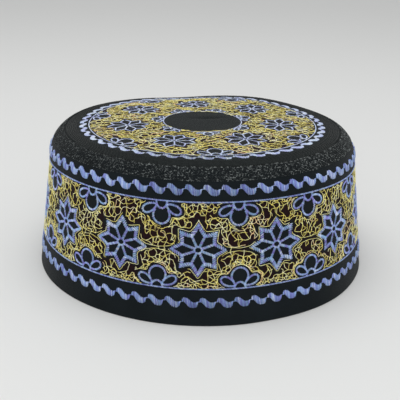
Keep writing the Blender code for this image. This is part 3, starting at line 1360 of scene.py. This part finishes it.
bandPaint = clothPaint("band_cloth", (10, 16, 19), (20, 27, 31), (25, 6, 11), 0.1)
crownPaint = clothPaint("crown_cloth", (12, 19, 20), (21, 28, 29), (34, 12, 13), 0.08)
bluePaint = threadPaint(
    "blue_thread", [(0.0, (96, 102, 180)), (0.35, (138, 148, 214)), (0.6, (140, 172, 218)),
                    (1.0, (202, 210, 238))], [(60.0, 0.5), (600.0, 0.4)])
brightBluePaint = threadPaint(
    "bright_blue_thread", [(0.0, (104, 104, 190)), (0.35, (160, 154, 228)), (0.6, (140, 182, 224)),
                           (1.0, (230, 234, 252))], [(110.0, 0.7), (300.0, 0.7)], toneShare=0.8)
# the blue thread again, painted paler for the crown: painted light from above on the top
topLitBluePaint = threadPaint(
    "top_lit_blue_thread", [(0.0, (150, 156, 216)), (0.4, (190, 198, 238)), (0.7, (196, 216, 240)),
                         (1.0, (244, 246, 252))], [(130.0, 0.8)])
goldPaint = threadPaint(
    "gold_thread", [(0.0, (122, 104, 40)), (0.3, (254, 235, 106)), (0.5, (255, 250, 164)),
                    (0.72, (255, 255, 222)), (0.95, (250, 204, 138))],
    [(90.0, 0.6), (700.0, 1.2)], rough=0.28, gloss=1.0)
# the black thread's two pale grey stops are painted glints of its lustre, falling on random stitches and
# patches; the dark stops are its own colour
blackPaint = threadPaint(
    "black_thread", [(0.0, (12, 16, 17)), (0.5, (29, 34, 35)), (0.78, (84, 89, 89)), (1.0, (150, 156, 155))],
    # painted sheen and shade: palest a little right of the middle, darker towards both sides
    [(300.0, 0.35)], toneShare=1.15, gloss=0.2, paintedSheenFade=(0.02, 18.0))
rimPaint = threadPaint(
    "rim_thread", [(0.0, (13, 18, 18)), (1.0, (33, 38, 38))], [(300.0, 0.3)], rough=0.6, gloss=0.15)
print("finishes made")

# Building

wall = wallMotifs()
wallGoldRuns, wallRoom = wallGold(wall)
top = crownMotifs()
crownGoldRuns, crownRoom = crownGold(top)

band = turned("band_cloth", bandSection(), clothMesh["bandColumns"], True, bandPaint, bandGround)
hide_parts("side_band")
crown = turned("crown_cloth", crownSection(), clothMesh["crownColumns"], False, crownPaint, crownGround)
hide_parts("crown")

satin = satinTree()
strands = strandTree()
stitch = stitchForm()
satinSizes = {
    "Pitch": 0.5 * mm,
    "Gauge": 0.46 * mm,
    "Height": 0.34 * mm,
    "Slant": 0.28,
    "Zigzag": 0.0,
    "Wobble": 0.1,
    "Teeth": 0.15,      # every other stitch is longer and paler by this share
    "Lean": 0.0,        # how much of that share goes to the outer end
    "Jitter": 0.08,
    "Seed": 3,
    "Stitch": stitch,
    "Thread": bluePaint.material,
}
bright = {"Thread": brightBluePaint.material}
lineSizes = {"Slant": 0.7}
waveSizes = {"Gauge": 0.43 * mm, "Height": 0.6 * mm, "Slant": 0.05, "Wobble": 0.06, "Teeth": 0.0,
             "Jitter": 0.07}
# the crown's stitches use the blue thread painted paler, as painted light from above
crownSizes = {"Height": 0.18 * mm, "Teeth": 0.1, "Thread": topLitBluePaint.material}
crownWaveSizes = {**waveSizes, "Height": 0.3 * mm, "Thread": topLitBluePaint.material}


def wallRuns(kind, wide):
    return [wallRun(flat, wallField[wide]) for flat in wall[kind]]


def crownRuns(kind, wide):
    return [crownRun(flat, crownField[wide]) for flat in top[kind]]


wallLines = [wallRun(wallCircle(wallField[line]), wallField["lineWide"]) for line in ("lowLine", "highLine")]
crownLines = [crownRun(crownCircle(crownField[line]), crownField["lineWide"])
              for line in ("innerLine", "outerLine")]
wallWaves = [run for border in wallField["waves"] for run in wallWaveRuns(**border)]
for name, runs, changes in (
    ("wall_stars", wallRuns("stars", "starWide"), {**bright, "Teeth": 0.3, "Lean": 0.45}),
    ("wall_star_rays", wallRuns("rays", "rayWide"), bright),
    ("wall_half_flowers", wallRuns("flowers", "flowerWide"), bright),
    ("wall_lines", wallLines, lineSizes),
    ("wall_waves", wallWaves, waveSizes),
    ("crown_stars", crownRuns("stars", "starWide"), crownSizes),
    ("crown_half_flowers", crownRuns("flowers", "flowerWide"), crownSizes),
    ("crown_lines", crownLines, {**crownSizes, **lineSizes}),
    ("crown_waves", crownWaveRuns(), crownWaveSizes),
):
    grow(name, runs, satin, {**satinSizes, **changes})

goldSizes = {
    "Step": goldFill["step"] * mm,
    "Radius": goldFill["threadRadius"] * mm,
    "Thread": goldPaint.material,
}
# the wall's gold is two pieces, front and back, so that each stays light
wallGoldRuns.sort(key=lambda run: float(run[0][0][1]))
counts = np.cumsum([len(run[0]) for run in wallGoldRuns])
cut = int(np.searchsorted(counts, counts[-1] / 2))
grow("wall_gold_front", wallGoldRuns[:cut], strands, goldSizes)
grow("wall_gold_back", wallGoldRuns[cut:], strands, goldSizes)
crownGoldSizes = {**goldSizes, "Radius": goldFill["crownRadius"] * mm}
grow("crown_gold", crownGoldRuns, strands, crownGoldSizes)

rowSizes = {**satinSizes, "Pitch": 0.72 * mm, "Gauge": 0.42 * mm, "Height": 0.45 * mm, "Zigzag": 1.2,
            "Slant": 0.0, "Wobble": 0.5, "Teeth": 0.0, "Jitter": 0.4, "Thread": blackPaint.material}
rimSizes = {**rowSizes, "Pitch": 2.15 * mm, "Gauge": 0.85 * mm, "Height": 0.2 * mm, "Zigzag": 0.05,
            "Wobble": 0.03, "Jitter": 0.1, "Thread": rimPaint.material}
shoulderRuns = [ringRun(radius, onShoulder, "shoulderReach") for radius in blackRows["shoulderRadii"]]
rimRuns = [ringRun(radius, onRim, "rimReach") for radius in blackRows["rimRadii"]]
rimRuns += [ringRun(blackRows["seamRadius"], onRim, "rimReach", arc) for arc in blackRows["seamArcs"]]
grow("shoulder_stitches", shoulderRuns, satin, rowSizes)
grow("crown_rim_stitches", rimRuns, satin, rimSizes)
bpy.data.objects.remove(stitch)

# Stage, light and camera

floorForm = {
    "half": 4.0,
    "tone": (228, 229, 228),
    "shine": {"Roughness": 0.9, "Specular_IOR_Level": 0.1},
}
lights = {
    "overhead": {"place": (-0.08, 0.0, 1.1), "target": (0, 0, 0.05), "size": 1.1, "watts": 4.4},
    "front": {"place": (0.0, -1.3, 0.45), "target": (0, 0, 0.04), "size": 0.9, "watts": 6.3},
}
skyStrength = 0.62
cameraForm = {
    "place": (0.0, -0.4184, 0.1861),
    "lens": 67.4,
    "sensor": 36.0,
    "turns": ((0.12, "Z"), (90 - 20.32, "X"), (1.05, "Z")),    # degrees aside, down and of roll
}


def makeFloor():
    paint = Paint("paper", Base_Color=srgb(*floorForm["tone"]), **floorForm["shine"])
    half = floorForm["half"]
    corners = [(-half, -half, 0), (half, -half, 0), (half, half, 0), (-half, half, 0)]
    mesh = bpy.data.meshes.new("paper_floor")
    mesh.from_pydata(corners, [], [(0, 1, 2, 3)])
    mesh.materials.append(paint.material)
    floor = linked("paper_floor", mesh)


def softLight(name, place, target, size, watts):
    data = bpy.data.lights.new(name, "AREA")
    data.shape = "DISK"
    data.size = size
    data.energy = watts
    lamp = linked(name, data)
    lamp.location = place
    lamp.rotation_euler = (Vector(place) - Vector(target)).to_track_quat("Z", "Y").to_euler()


def makeCamera():
    data = bpy.data.cameras.new("camera")
    data.sensor_width = cameraForm["sensor"]
    data.lens = cameraForm["lens"]
    camera = linked("camera", data)
    camera.matrix_world = Matrix.Translation(cameraForm["place"])
    for degrees, axis in cameraForm["turns"]:
        camera.matrix_world @= Matrix.Rotation(math.radians(degrees), 4, axis)
    bpy.context.scene.camera = camera


def makeSky():
    world = bpy.data.worlds.new("studio")
    bpy.context.scene.world = world
    world.use_nodes = True
    sky = world.node_tree.nodes["Background"]
    sky.inputs["Color"].default_value = (1, 1, 1, 1)
    sky.inputs["Strength"].default_value = skyStrength


makeFloor()
for name, light in lights.items():
    softLight(name, **light)
makeCamera()
makeSky()
bpy.context.scene.view_settings.view_transform = "Standard"
print("stage, light and camera set")
